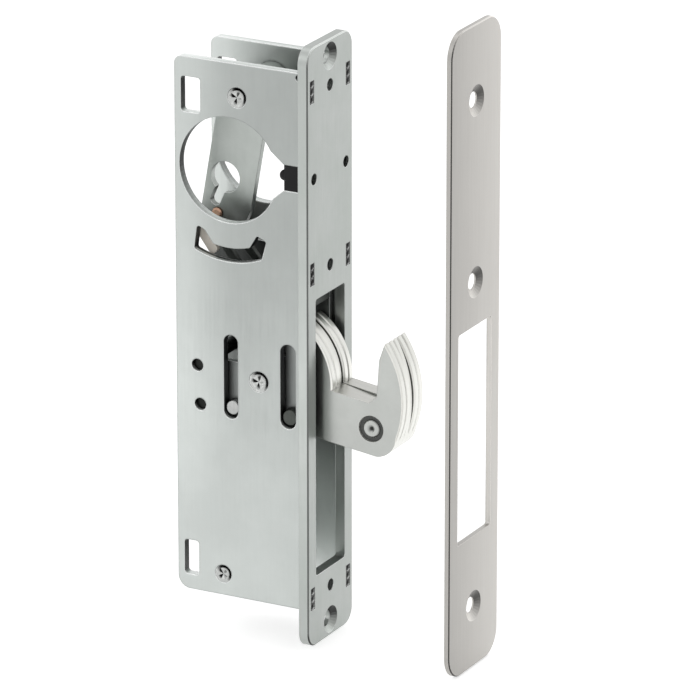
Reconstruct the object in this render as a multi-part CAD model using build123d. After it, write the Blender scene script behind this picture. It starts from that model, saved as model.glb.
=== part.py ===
from build123d import *
import os
from math import cos, radians, sin

# A narrow hook-bolt mortise lock for a sliding patio door, with its hook thrown.
# X points out of the front of the lock, Y runs across its thickness and Z up the door.
# The origin lies on the outer face of the front plate, halfway between its two end screws.
# Lengths are in millimetres and angles in degrees. A place is given as X and Z, or as Y and Z.

# Front plate, which reaches past the case at both ends
front_lip = 1.4
front_top_margin = 6.95
front_bottom_margin = 10.75
front_thickness = 2.9
front_corner_radius = 4.5
front_edge_bevel = 0.35
end_screw_margin = 4.65
end_screw_hole_radius = 2.3
end_screw_head_radius = 3.8
end_screw_head_depth = 1.5
cover_screw_top_drop = 5.6
cover_screw_bottom_rise = 3.9
cover_screw_thread_radius = 1.7
bolt_slot_side_gap = 2.3
bolt_slot_hook_gap = 5.4
bolt_slot_bottom_rise = 9.2
bolt_slot_corner_radius = 0.9

# Side plates of the case, which are tabbed and staked into the front plate
plate_thickness = 2.4
case_width = 22.6
hook_bay_depth = 62.9
plate_shadow_gap = 0.4
plate_low_corner_radius = 3.6
plate_high_corner_radius = 2.2
tab_height = 6.3
tab_top_margin = 1.95
tab_middle_rise = 7.5
stake_mark_radius = 1.05
stake_mark_sides = 6
stake_mark_depth = 0.6
stake_mark_taper_angle = 30
stake_mark_spacing = 2.2
relief_radius = 0.9
relief_margin = 0.5
top_window_width = 5.8
top_window_height = 9.8
top_window_back = 4.9
top_window_drop = 10.4
bottom_window_width = 4.4
bottom_window_height = 9.9
bottom_window_back = 4.2
bottom_window_rise = 9.2
window_corner_radius = 0.9

# Stop pins behind the hook's tail, placed from the back of the case and from the pivot's height
stop_pin_radius = 1.75
stop_pin_sink = 1.2
high_stop_step = (6.4, 1.8)
low_stop_step = (7.2, -9.2)

# Cylinder bore, its clamp notch and the curved window under it
bore_radius = 14.7
bore_backset = 24.6
bore_back_wall = 1.4
bore_top_wall = 15.0
bore_height = 47.5
funnel_high_angle = 29
funnel_low_angle = -24
arc_wall = 7.0
arc_width = 3.9
arc_end_rise = 2.6
arc_left_angle = -114
arc_right_angle = -67
arc_corner_radius = 0.7

# Clamp screws and the threaded block that carries them
clamp_rise = 0.4
clamp_inset = 2.3
clamp_radius = 1.75
clamp_length = 6.5
clamp_reach = 10.1
clamp_socket_radius = 0.95
clamp_socket_depth = 2.0
clamp_access_radius = 1.6
clamp_thread_fit = 0.06
clamp_block_height = 7.0
clamp_block_depth = 4.9
clamp_block_sink = 0.1
clamp_block_fit = 0.05

# Rivets between the side plates
top_post_backset = 21.8
top_post_drop = 9.3
bottom_post_backset = 26.8
bottom_post_rise = 6.1
post_body_radius = 3.3
top_post_end_radius = 2.8
bottom_post_end_radius = 2.5
rivet_dome = 0.25
rivet_mark_depth = 0.35
rivet_mark_width = 0.5
rivet_mark_angles = (45, 135)

# Hook pivot and the hook, whose outline is measured from the pivot
pivot_place = (-15.6, -10.5)
pivot_shaft_radius = 3.6
pivot_end_radius = 2.9
pivot_fit = 0.06
hook_ply_count = 5
hook_ply_bevel = 0.4
hook_groove_depth = 0.7
hook_hub_radius = 7.8
arch_radius = 19.3
arch_end_angle = 60
arch_foot_angle = -3
throat_back = (30.4, -2.6)
throat_front = (32.7, -0.4)
tip_inner = (33.4, 9.9)
tip_top = (35.0, 14.6)
outer_bulge = (40.4, 0.0)
outer_low = (38.2, -12.6)
toe_round = (36.6, -15.6)
toe_bottom = (32.4, -17.4)
heel_bottom = (17.6, -15.4)
heel_inner = (7.0, -13.0)
tail_reach = 16.0
tail_width = 10.8
tail_angle = 229
fork_slack = 0.75
hook_rivet_place = (31.0, -9.8)
hook_rivet_radius = 2.5
hook_rivet_ring_radius = 3.7
hook_rivet_ring_depth = 0.5
hook_rivet_dimple_radius = 1.1
hook_rivet_dimple_depth = 0.6
washer_radius = 5.6
washer_thickness = 0.35
washer_gap = 0.05

# Lift slide, two plates beside the hook that rise as it swings in
slide_travel = 18.0
slide_plate_thickness = 1.6
slide_washer_gap = 0.3
slide_side_gap = 0.6
slide_leg_bottom = -24.0
slide_bridge_rise = 3.3
slide_shoulder_width = 5.8
slide_shoulder_drop = 3.9
slide_pivot_clearance = 0.4
guide_slot_length = 23.8
drive_slot_place = -24.1
drive_slot_width = 4.3
guide_slot_place = -6.75
guide_slot_width = 4.7
guide_pin_rest_drop = 9.0
guide_pin_fit = 0.1
guide_pin_sink = 0.8
slide_back_margin = 3.9
slide_front_gap = 0.9
crossbar_hook_gap = 1.0
crossbar_height = 4.4
crossbar_depth = 5.3
cam_plate_thickness = 1.4
cam_plate_offset = 1.3
cam_web = 2.2
cam_slack = 0.3

# Return spring between the slide's crossbar and the clamp block
spring_radius = 2.0
spring_wire_radius = 0.35
spring_wire_sides = 6
spring_turns = 6
spring_seat_gap = 0.1
spring_side_gap = 1.0

# Cam lever, a flat strip that hangs from the top post and is turned by the key cylinder
lever_thickness = 2.0
lever_left = -10.3
lever_right = 4.4
lever_foot_right = 1.2
lever_head_radius = 6.2
lever_bore_fit = 0.06
lever_taper_start = 34.0
lever_toe = 3.1
lever_corner_radius = 2.0
lever_tilt_angle = 10
lever_swing_angle = 23.5
lever_hole_left = -4.6
lever_hole_rise = 15.9
lever_hole_radius = 4.35
keyhole_left = -6.4
keyhole_rise = 8.7
keyhole_width = 3.0
lever_rivet_left = -5.2
lever_rivet_rise = 5.3
lever_rivet_radius = 1.5
lever_rivet_height = 0.9
lever_pin_rise = 11.78
lever_pin_angle = -14.5
lever_pin_radius = 1.5
foot_length = 8.0
foot_width = 2.9
foot_thickness = 1.4
foot_angle = -53
foot_plate_gap = 0.5
spacer_radius = 4.7
spacer_end_gap = 0.05

# Cover plate, which stands in front of the lock and is screwed over its front last
cover_lip = 1.6
cover_top_margin = 10.05
cover_bottom_margin = 1.05
cover_thickness = 1.5
cover_corner_radius = 7.0
cover_edge_bevel = 0.3
cover_stand_off = 41.7
cover_rise = 1.8
cover_hole_radius = 2.2
cover_head_radius = 4.3
cover_head_depth = 1.1
cover_slot_width = 19.4
cover_slot_rise = 21.9
cover_slot_drop = 37.2
cover_slot_corner_radius = 0.8

# Sizes and places of the case that follow from the sizes above
case_depth = bore_backset + bore_radius + bore_back_wall
case_top = bore_height + bore_radius + bore_top_wall
case_bottom = pivot_place[1] - hook_bay_depth
plate_inner = case_width / 2 - plate_thickness
front_width = case_width + 2 * front_lip
front_top = case_top + front_top_margin
front_bottom = case_bottom - front_bottom_margin
cover_width = front_width + 2 * cover_lip
cover_top = front_top + cover_top_margin
cover_bottom = front_bottom - cover_bottom_margin
bolt_slot_top = pivot_place[1] + arch_radius + bolt_slot_hook_gap
bolt_slot_bottom = case_bottom + bolt_slot_bottom_rise
bore_place = (-bore_backset, bore_height)
arc_inner_radius = bore_radius + arc_wall
arc_outer_radius = arc_inner_radius + arc_width
top_post_place = (-top_post_backset, case_top - top_post_drop)
bottom_post_place = (-bottom_post_backset, case_bottom + bottom_post_rise)
tab_top_height = case_top - tab_top_margin - tab_height / 2
tab_middle_height = bolt_slot_top + tab_middle_rise
tab_bottom_height = case_bottom + tab_height / 2
top_window_place = (top_window_back - case_depth, case_top - top_window_drop)
bottom_window_place = (bottom_window_back - case_depth, case_bottom + bottom_window_rise)
high_stop_place = (high_stop_step[0] - case_depth, high_stop_step[1] + pivot_place[1])
low_stop_place = (low_stop_step[0] - case_depth, low_stop_step[1] + pivot_place[1])
clamp_height = bore_height + clamp_rise
clamp_offset = case_width / 2 - clamp_inset
cut_over = plate_thickness

# Sizes and places of the works that follow, from the side plates inwards
slide_outer_gap = plate_inner - slide_side_gap
slide_inner_gap = slide_outer_gap - slide_plate_thickness
hook_half = slide_inner_gap - slide_washer_gap - washer_thickness - washer_gap
hook_ply_thickness = 2 * hook_half / hook_ply_count
bolt_slot_width = 2 * (hook_half + bolt_slot_side_gap)
guide_pin_height = pivot_place[1] - guide_pin_rest_drop
crossbar_low = pivot_place[1] + arch_radius + crossbar_hook_gap
crossbar_high = crossbar_low + crossbar_height
lever_pin_reach = (top_post_place[1] - crossbar_high - lever_pin_rise) / cos(radians(lever_pin_angle))
lever_length = lever_pin_reach + lever_toe
lever_hole_place = (lever_hole_left, lever_hole_rise - lever_pin_reach)
keyhole_end = (keyhole_left, keyhole_rise - lever_pin_reach)
lever_rivet_place = (lever_rivet_left, lever_rivet_rise - lever_pin_reach)


def slab(profile, y_low, y_high):
    """Stand a profile drawn in X and Z between two places along Y."""
    return extrude(Plane.XZ.offset(-y_high) * profile, y_high - y_low)


def panel(profile, x_low, x_high):
    """Stand a profile drawn in Y and Z between two places along X."""
    return extrude(Plane.YZ.offset(x_low) * profile, x_high - x_low)


def rod(place, radius, y_low, y_high):
    """A round bar along Y at a place in X and Z."""
    return slab(Pos(*place) * Circle(radius), y_low, y_high)


def polar(centre, radius, angle):
    """A point at a radius and an angle from a centre."""
    return (centre[0] + radius * cos(radians(angle)), centre[1] + radius * sin(radians(angle)))


def beside(centre, step):
    """A point at a step in two directions from a centre."""
    return (centre[0] + step[0], centre[1] + step[1])


def box_profile(left, right, low, high):
    """A rectangle between four sides."""
    return Pos((left + right) / 2, (low + high) / 2) * Rectangle(right - left, high - low)


def countersunk(height, hole_radius, head_radius, head_depth, face):
    """The cutter of a screw hole along X, with its cone open at the given face."""
    hole = panel(Pos(0, height) * Circle(hole_radius), face - cut_over - front_thickness, face + cut_over)
    cone = Cone(hole_radius, head_radius, head_depth, align=(Align.CENTER, Align.CENTER, Align.MAX))
    return hole + Plane(origin=(face, 0, height), z_dir=(1, 0, 0)) * cone


def tab_heights():
    return (tab_top_height, tab_middle_height, tab_bottom_height)


def cover_screw_heights():
    return (case_top - cover_screw_top_drop, tab_middle_height, case_bottom + cover_screw_bottom_rise)


def front_plate():
    """The thick plate that shows in the edge of the door."""
    outline = RectangleRounded(front_width, front_top - front_bottom, front_corner_radius)
    plate = panel(Pos(0, (front_top + front_bottom) / 2) * outline, -front_thickness, 0)
    plate = chamfer(plate.faces().sort_by(Axis.X)[-1].edges(), front_edge_bevel)
    slot_middle = (bolt_slot_top + bolt_slot_bottom) / 2
    slot = RectangleRounded(bolt_slot_width, bolt_slot_top - bolt_slot_bottom, bolt_slot_corner_radius)
    plate -= panel(Pos(0, slot_middle) * slot, -front_thickness - cut_over, cut_over)
    for height in (front_top - end_screw_margin, front_bottom + end_screw_margin):
        plate -= countersunk(height, end_screw_hole_radius, end_screw_head_radius, end_screw_head_depth, 0)
    for side in (-1, 1):
        access = Pos(side * clamp_offset, clamp_height) * Circle(clamp_access_radius)
        plate -= panel(access, -front_thickness - cut_over, cut_over)
        for height in tab_heights():
            tab = Pos(side * (plate_inner + plate_thickness / 2), height) * Rectangle(plate_thickness, tab_height)
            plate -= panel(tab, -front_thickness - cut_over, cut_over)
    for height in cover_screw_heights():
        thread = Pos(0, height) * Circle(cover_screw_thread_radius)
        plate -= panel(thread, -front_thickness - cut_over, cut_over)
    return plate


def arc_window():
    """The curved window under the bore, two arcs about its centre with raised ends."""
    outer_left = polar(bore_place, arc_outer_radius, arc_left_angle)
    outer_right = polar(bore_place, arc_outer_radius, arc_right_angle)
    inner_left = polar(bore_place, arc_inner_radius, arc_left_angle + arc_shoulder())
    inner_right = polar(bore_place, arc_inner_radius, arc_right_angle - arc_shoulder() / 2)
    low = Edge.make_three_point_arc(outer_left, polar(bore_place, arc_outer_radius, arc_middle()), outer_right)
    high = Edge.make_three_point_arc(inner_right, polar(bore_place, arc_inner_radius, arc_middle()), inner_left)
    right_end = Polyline(
        outer_right,
        polar(bore_place, arc_inner_radius, arc_right_angle + arc_shoulder() * 3 / 4),
        polar(bore_place, arc_inner_radius - arc_end_rise, arc_right_angle + arc_shoulder() / 3),
        inner_right,
    )
    left_end = Polyline(
        inner_left,
        polar(bore_place, arc_inner_radius - arc_end_rise, arc_left_angle + arc_shoulder() / 6),
        polar(bore_place, arc_inner_radius - arc_end_rise, arc_left_angle - arc_shoulder() / 2),
        outer_left,
    )
    window = make_face([low] + right_end.edges() + [high] + left_end.edges())
    return fillet(window.vertices(), arc_corner_radius)


def arc_shoulder():
    """The angle that one raised end of the curved window takes."""
    return (arc_right_angle - arc_left_angle) / 4


def arc_middle():
    return (arc_right_angle + arc_left_angle) / 2


def bore_profile():
    """The round bore with the funnel and the notch that lead to the clamp block."""
    notch_half = clamp_block_height / 2 + clamp_block_fit
    notch_back = -front_thickness - clamp_block_depth - clamp_block_fit
    funnel = Polyline(
        bore_place,
        polar(bore_place, bore_radius, funnel_high_angle),
        (notch_back, clamp_height + notch_half),
        (notch_back, clamp_height - notch_half),
        polar(bore_place, bore_radius, funnel_low_angle),
        bore_place,
    )
    profile = Pos(*bore_place) * Circle(bore_radius) + make_face(funnel.edges())
    return profile + box_profile(notch_back, cut_over, clamp_height - notch_half, clamp_height + notch_half)


def stake_marks(side):
    """Punch marks that spread the ends of one plate's tabs."""
    middle = side * (plate_inner + plate_thickness / 2)
    mark = extrude(RegularPolygon(stake_mark_radius, stake_mark_sides), stake_mark_depth,
                   taper=stake_mark_taper_angle)
    places = [(middle, height + step * stake_mark_spacing) for height in tab_heights() for step in (-1, 0, 1)]
    return [Plane(origin=(0, y, z), z_dir=(-1, 0, 0)) * mark for y, z in places]


def side_plate(side):
    """One side of the case, on the side of Y that the sign gives."""
    back = -case_depth
    front = -front_thickness
    outline = box_profile(back, front, case_bottom, case_top)
    corners = outline.vertices().group_by(Axis.X)[0].sort_by(Axis.Y)
    outline = fillet(corners[0], plate_low_corner_radius)
    corners = outline.vertices().group_by(Axis.Y)[-1].sort_by(Axis.X)
    outline = fillet(corners[0], plate_high_corner_radius)
    setback = box_profile(front - plate_shadow_gap, front, tab_middle_height + tab_height / 2,
                          tab_top_height - tab_height / 2)
    outline -= setback
    for height in tab_heights():
        outline += box_profile(front - plate_shadow_gap, 0, height - tab_height / 2, height + tab_height / 2)
    outline -= Pos(front - relief_radius / 2, case_top - relief_radius - relief_margin) * Circle(relief_radius)
    outline -= bore_profile()
    outline -= arc_window()
    top_window = RectangleRounded(top_window_width, top_window_height, window_corner_radius)
    bottom_window = RectangleRounded(bottom_window_width, bottom_window_height, window_corner_radius)
    outline -= Pos(*top_window_place) * top_window
    outline -= Pos(*bottom_window_place) * bottom_window
    for x, width in ((drive_slot_place, drive_slot_width), (guide_slot_place, guide_slot_width)):
        outline -= Pos(x, pivot_place[1]) * Rot(0, 0, 90) * SlotOverall(guide_slot_length, width)
    for place in (high_stop_place, low_stop_place):
        outline -= Pos(*place) * Circle(stop_pin_radius)
    for place, radius in rivet_seats():
        outline -= Pos(*place) * Circle(radius)
    low, high = sorted((side * plate_inner, side * case_width / 2))
    plate = slab(outline, low, high)
    for mark in stake_marks(side):
        plate -= mark
    return plate


def rivet_seats():
    """The places and radii of the three rivets that cross the case."""
    return (
        (top_post_place, top_post_end_radius),
        (bottom_post_place, bottom_post_end_radius),
        (pivot_place, pivot_end_radius),
    )


def crossed_rivet(place, shaft_radius, end_radius):
    """A shouldered rivet across the case, its domed ends marked with a cross."""
    rivet = rod(place, shaft_radius, -plate_inner, plate_inner)
    half = case_width / 2 + rivet_dome
    ends = rod(place, end_radius, -half, half)
    rivet += chamfer(ends.edges().filter_by(GeomType.CIRCLE), rivet_dome)
    for side in (-1, 1):
        low, high = sorted((side * (half - rivet_mark_depth), side * (half + cut_over)))
        for turn in rivet_mark_angles:
            stroke = Pos(*place) * Rot(0, 0, turn) * Rectangle(end_radius * 3 / 2, rivet_mark_width)
            rivet -= slab(stroke, low, high)
    return rivet


def stop_pin(place):
    """A black pin across the case, with its ends set back in both side plates."""
    half = case_width / 2 - stop_pin_sink
    return rod(place, stop_pin_radius, -half, half)


def clamp_block():
    """The black block behind the front plate that holds both clamp screws."""
    back = -front_thickness - clamp_block_depth
    profile = box_profile(back, -front_thickness, clamp_height - clamp_block_height / 2,
                          clamp_height + clamp_block_height / 2)
    half = case_width / 2 - clamp_block_sink
    block = slab(profile, -half, half)
    for side in (-1, 1):
        thread = Pos(side * clamp_offset, clamp_height) * Circle(clamp_radius + clamp_thread_fit)
        block -= panel(thread, back - cut_over, cut_over)
    return block


def clamp_screw(side):
    """A headless screw that clamps the key cylinder, with a tapered tip and a hexagon socket."""
    place = Pos(side * clamp_offset, clamp_height)
    screw = panel(place * Circle(clamp_radius), -clamp_reach, clamp_length - clamp_reach)
    screw = chamfer(screw.faces().sort_by(Axis.X)[0].edges(), clamp_radius / 2)
    socket = place * RegularPolygon(clamp_socket_radius, 6)
    screw -= panel(socket, clamp_length - clamp_reach - clamp_socket_depth, clamp_length - clamp_reach + cut_over)
    return screw


def hook_profile(inset):
    """The outline of one hook ply, drawn in by an inset on its curved edges and in its throat."""
    radius = arch_radius - inset
    arch = Edge.make_three_point_arc(
        polar(pivot_place, radius, arch_end_angle),
        polar(pivot_place, radius, (arch_end_angle + arch_foot_angle) / 2),
        polar(pivot_place, radius, arch_foot_angle),
    )
    throat = Polyline(
        polar(pivot_place, radius, arch_foot_angle),
        beside(pivot_place, (throat_back[0], throat_back[1] - inset)),
        beside(pivot_place, (throat_front[0] + inset, throat_front[1])),
        beside(pivot_place, (tip_inner[0] + inset, tip_inner[1])),
        beside(pivot_place, tip_top),
    )
    outer = Edge.make_three_point_arc(
        beside(pivot_place, tip_top),
        beside(pivot_place, (outer_bulge[0] - inset, outer_bulge[1])),
        beside(pivot_place, outer_low),
    )
    toe = Edge.make_three_point_arc(
        beside(pivot_place, outer_low),
        beside(pivot_place, toe_round),
        beside(pivot_place, toe_bottom),
    )
    heel = Polyline(
        beside(pivot_place, toe_bottom),
        beside(pivot_place, heel_bottom),
        beside(pivot_place, heel_inner),
        polar(pivot_place, hook_hub_radius, arch_end_angle + 90),
        polar(pivot_place, radius, arch_end_angle),
    )
    face = make_face([arch] + throat.edges() + [outer, toe] + heel.edges())
    return face + Pos(*pivot_place) * Circle(hook_hub_radius)


def fork_tail():
    """The tail of the hook, a fork that the drive pin turns."""
    reach = Pos(tail_reach / 2, 0) * Rectangle(tail_reach, tail_width)
    turned = Pos(*pivot_place) * Rot(0, 0, tail_angle) * reach
    return turned & (Pos(*pivot_place) * Circle(tail_reach))


def fork_slot():
    """The slot of the fork, wide enough for the pin's straight path as the hook turns."""
    start = pivot_place[0] - drive_slot_place - drive_pin_radius() - fork_slack
    width = 2 * (drive_pin_radius() + fork_slack)
    length = tail_reach - start + cut_over
    cutter = Pos(start + length / 2, 0) * Rectangle(length, width)
    return Pos(*pivot_place) * Rot(0, 0, tail_angle) * cutter


def drive_pin_radius():
    return drive_slot_width / 2 - guide_pin_fit


def hook_ply(number):
    """One steel ply of the hook; the middle ply is a little smaller and leaves a dark groove."""
    middle = (hook_ply_count + 1) / 2
    inset = hook_groove_depth if number == middle else 0
    profile = hook_profile(inset) + fork_tail() - fork_slot()
    profile -= Pos(*pivot_place) * Circle(pivot_shaft_radius + pivot_fit)
    profile -= Pos(*beside(pivot_place, hook_rivet_place)) * Circle(hook_rivet_radius)
    low = -hook_half + (number - 1) * hook_ply_thickness
    ply = slab(profile, low, low + hook_ply_thickness)
    arcs = ply.edges().filter_by(GeomType.CIRCLE)
    ply = chamfer(arcs.filter_by(lambda edge: edge.radius > hook_hub_radius * 2), hook_ply_bevel)
    if number in (1, hook_ply_count):
        side = -1 if number == 1 else 1
        low, high = sorted((side * (hook_half - hook_rivet_ring_depth), side * (hook_half + cut_over)))
        ply -= rod(beside(pivot_place, hook_rivet_place), hook_rivet_ring_radius, low, high)
    return ply


def hook_rivet():
    """The rivet that holds the plies together near the toe, with a punched dimple in each end."""
    x, z = beside(pivot_place, hook_rivet_place)
    rivet = rod((x, z), hook_rivet_radius, -hook_half, hook_half)
    rivet = chamfer(rivet.edges().filter_by(GeomType.CIRCLE), hook_ply_bevel)
    dimple = Cone(0, hook_rivet_dimple_radius, hook_rivet_dimple_depth,
                  align=(Align.CENTER, Align.CENTER, Align.MAX))
    for side in (-1, 1):
        rivet -= Plane(origin=(x, side * hook_half, z), z_dir=(0, side, 0)) * dimple
    return rivet


def hook_washer(side):
    """A thin washer on the pivot between the hook and a slide plate."""
    low, high = sorted((side * (hook_half + washer_gap), side * (hook_half + washer_gap + washer_thickness)))
    ring = rod(pivot_place, washer_radius, low, high)
    return ring - rod(pivot_place, pivot_shaft_radius + pivot_fit, low - cut_over, high + cut_over)


def slide_front():
    return -front_thickness - slide_front_gap


def slide_plate(side):
    """One plate of the lift slide, two legs astride the pivot and an arm up to the crossbar."""
    left = drive_slot_place - slide_back_margin
    pivot_half = pivot_shaft_radius + slide_pivot_clearance
    bridge_high = pivot_place[1] + pivot_half + slide_bridge_rise
    profile = box_profile(left, slide_front(), slide_leg_bottom, bridge_high)
    profile -= box_profile(left - cut_over, left + slide_shoulder_width, bridge_high - slide_shoulder_drop,
                           bridge_high + cut_over)
    arm_left = slide_front() - crossbar_depth
    profile += box_profile(arm_left, slide_front(), slide_leg_bottom, crossbar_high)
    profile -= box_profile(pivot_place[0] - pivot_half, pivot_place[0] + pivot_half,
                           slide_leg_bottom - cut_over, pivot_place[1])
    profile -= Pos(*pivot_place) * Circle(pivot_half)
    profile -= Pos(drive_slot_place, guide_pin_height) * Circle(drive_pin_radius())
    profile -= Pos(guide_slot_place, guide_pin_height) * Circle(guide_stud_radius())
    low, high = sorted((side * slide_inner_gap, side * slide_outer_gap))
    return slab(profile, low, high)


def guide_stud_radius():
    return guide_slot_width / 2 - guide_pin_fit


def drive_pin():
    """The pin across the slide that turns the hook and runs in both side plates."""
    half = case_width / 2 - guide_pin_sink
    pin = rod((drive_slot_place, guide_pin_height), drive_pin_radius(), -half, half)
    return chamfer(pin.edges().filter_by(GeomType.CIRCLE), rivet_dome)


def guide_stud(side):
    """A stud on a slide plate that runs in the front slot of its side plate."""
    low, high = sorted((side * slide_inner_gap, side * (case_width / 2 - guide_pin_sink)))
    stud = rod((guide_slot_place, guide_pin_height), guide_stud_radius(), low, high)
    face = stud.faces().sort_by(Axis.Y)[0 if side < 0 else -1]
    return chamfer(face.edges(), rivet_dome)


def cam_groove():
    """The groove of the crossbar that holds the cam plate."""
    left = slide_front() - crossbar_depth
    profile = box_profile(left - cut_over, slide_front() - crossbar_depth / 4, crossbar_low - cut_over,
                          crossbar_high + cut_over)
    return slab(profile, cam_plate_offset, cam_plate_offset + cam_plate_thickness)


def crossbar():
    """The bar that joins the arms of the slide and seats the return spring."""
    profile = box_profile(slide_front() - crossbar_depth, slide_front(), crossbar_low, crossbar_high)
    return slab(profile, -slide_inner_gap, slide_inner_gap) - cam_groove()


def lever_pin_place(share):
    """The lever's pin after a share of its swing, seen from the moving slide."""
    angle = lever_pin_angle + lever_swing_angle * share - 90
    place = polar(top_post_place, lever_pin_reach, angle)
    return (place[0], place[1] - slide_travel * share)


def cam_plate():
    """The plate in the middle of the case whose slanted slot lifts the slide."""
    path = Edge.make_three_point_arc(lever_pin_place(0), lever_pin_place(0.5), lever_pin_place(1))
    slot_width = 2 * (lever_pin_radius + cam_slack)
    low_end = lever_pin_place(1)
    half = slot_width / 2 + cam_web
    lug_right = slide_front() - crossbar_depth / 4
    lug = Polyline(
        (low_end[0] - half / 2, crossbar_high),
        (lug_right, crossbar_high),
        (lug_right, crossbar_low),
        (low_end[0] + half, crossbar_low),
        (low_end[0], low_end[1] - half),
        (low_end[0] - half / 2, crossbar_high),
    )
    profile = SlotArc(path, slot_width + 2 * cam_web) + make_face(lug.edges())
    profile -= SlotArc(path, slot_width)
    return slab(profile, cam_plate_offset, cam_plate_offset + cam_plate_thickness)


def biarc(start, start_way, end, end_way):
    """Two arcs that lead from one place to another and keep the direction at both."""
    step = end - start
    ways = start_way + end_way
    lean = 4 - ways.dot(ways)
    along = step.dot(ways)
    reach = ((along**2 + lean * step.dot(step)) ** (1 / 2) - along) / lean
    first = start + start_way * reach
    middle = (first + end - end_way * reach) / 2
    return [Edge.make_tangent_arc(start, start_way, middle), Edge.make_tangent_arc(middle, middle - first, end)]


def coil_stop(quarter, x, low, high):
    """The place and the direction of the coil's wire after a number of quarter turns."""
    angle = radians(90 * quarter)
    rise = (high - low) / (4 * spring_turns)
    place = Vector(x + spring_radius * cos(angle), spring_radius * sin(angle), low + rise * quarter)
    climb = rise / radians(90)
    return place, Vector(-spring_radius * sin(angle), spring_radius * cos(angle), climb).normalized()


def coil_gap(path):
    """The least gap of the coil to itself, measured on points along its path."""
    turn = 4 * spring_wire_sides
    points = [path @ (step / (turn * spring_turns)) for step in range(turn * spring_turns + 1)]
    pairs = [(one, two) for step, one in enumerate(points) for two in points[step + turn // 2:]]
    return min((one - two).length for one, two in pairs) - 2 * spring_wire_radius


def return_spring():
    """The coil spring that keeps the slide down and the hook thrown, one unbroken wire."""
    low = crossbar_high + spring_seat_gap + spring_wire_radius
    high = clamp_height - clamp_block_height / 2 - spring_seat_gap - spring_wire_radius
    x = -front_thickness - spring_side_gap - spring_radius - spring_wire_radius
    stops = [coil_stop(quarter, x, low, high) for quarter in range(4 * spring_turns + 1)]
    path = Wire([edge for start, end in zip(stops, stops[1:]) for edge in biarc(*start, *end)])
    wire = Plane(origin=path @ 0, z_dir=path % 0) * RegularPolygon(spring_wire_radius, spring_wire_sides)
    print(f"Least gap of the return spring to itself: {coil_gap(path):.2f} mm")
    return sweep(wire, path=path)


def lever_frame():
    """The place and tilt of the cam lever, which is drawn hanging straight down."""
    return Pos(*top_post_place) * Rot(0, 0, -lever_tilt_angle)


def cam_lever():
    """The flat strip behind the bore, with its round hole and keyhole."""
    strip = Polyline(
        (lever_left, 0),
        (lever_right, 0),
        (lever_right, -lever_taper_start),
        (lever_foot_right, -lever_length),
        (lever_left, -lever_length),
        (lever_left, 0),
    )
    profile = make_face(strip.edges())
    profile = fillet(profile.vertices(), lever_corner_radius)
    profile += Circle(lever_head_radius)
    profile -= Circle(post_body_radius + lever_bore_fit)
    profile -= Pos(*lever_hole_place) * Circle(lever_hole_radius)
    keyhole = SlotCenterPoint(middle_point(lever_hole_place, keyhole_end), keyhole_end, keyhole_width)
    profile -= keyhole
    profile -= Pos(*lever_rivet_place) * Circle(lever_rivet_radius)
    profile = lever_frame() * profile
    profile -= Pos(*lever_pin_place(0)) * Circle(lever_pin_radius)
    return slab(profile, -lever_thickness / 2, lever_thickness / 2)


def middle_point(first, second):
    return ((first[0] + second[0]) / 2, (first[1] + second[1]) / 2)


def lever_rivet():
    """The copper rivet near the foot of the lever."""
    shank = lever_frame() * Pos(*lever_rivet_place) * Circle(lever_rivet_radius)
    rivet = slab(shank, -lever_thickness / 2 - lever_rivet_height, lever_thickness / 2)
    return chamfer(rivet.edges().sort_by(Axis.Y)[0], lever_rivet_height / 2)


def foot_outer():
    return plate_inner - foot_plate_gap


def lever_pin():
    """The cross pin of the lever, which lifts the slide and carries the two feet."""
    half = foot_outer() - foot_thickness
    return rod(lever_pin_place(0), lever_pin_radius, -half, half)


def lever_foot(side):
    """A foot on one end of the lever's pin, seen through the curved window."""
    profile = Pos(*lever_pin_place(0)) * Rot(0, 0, foot_angle) * SlotOverall(foot_length, foot_width)
    low, high = sorted((side * (foot_outer() - foot_thickness), side * foot_outer()))
    return slab(profile, low, high)


def lever_spacer(side):
    """A sleeve on the top post that keeps the lever in the middle of the case."""
    low, high = sorted((side * (lever_thickness / 2 + spacer_end_gap), side * (plate_inner - spacer_end_gap)))
    sleeve = rod(top_post_place, spacer_radius, low, high)
    return sleeve - rod(top_post_place, post_body_radius, low - cut_over, high + cut_over)


def cover_plate():
    """The satin cover plate that finishes the edge of the door."""
    height = cover_top - cover_bottom
    middle = (cover_top + cover_bottom) / 2
    face = cover_stand_off + cover_thickness
    outline = Pos(0, middle) * RectangleRounded(cover_width, height, cover_corner_radius)
    plate = panel(outline, cover_stand_off, face)
    plate = chamfer(plate.faces().sort_by(Axis.X)[-1].edges(), cover_edge_bevel)
    slot = RectangleRounded(cover_slot_width, cover_slot_rise + cover_slot_drop, cover_slot_corner_radius)
    slot_middle = pivot_place[1] + (cover_slot_rise - cover_slot_drop) / 2
    plate -= panel(Pos(0, slot_middle) * slot, cover_stand_off - cut_over, face + cut_over)
    for height in cover_screw_heights():
        plate -= countersunk(height + cover_rise, cover_hole_radius, cover_head_radius, cover_head_depth, face)
    return plate


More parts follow.
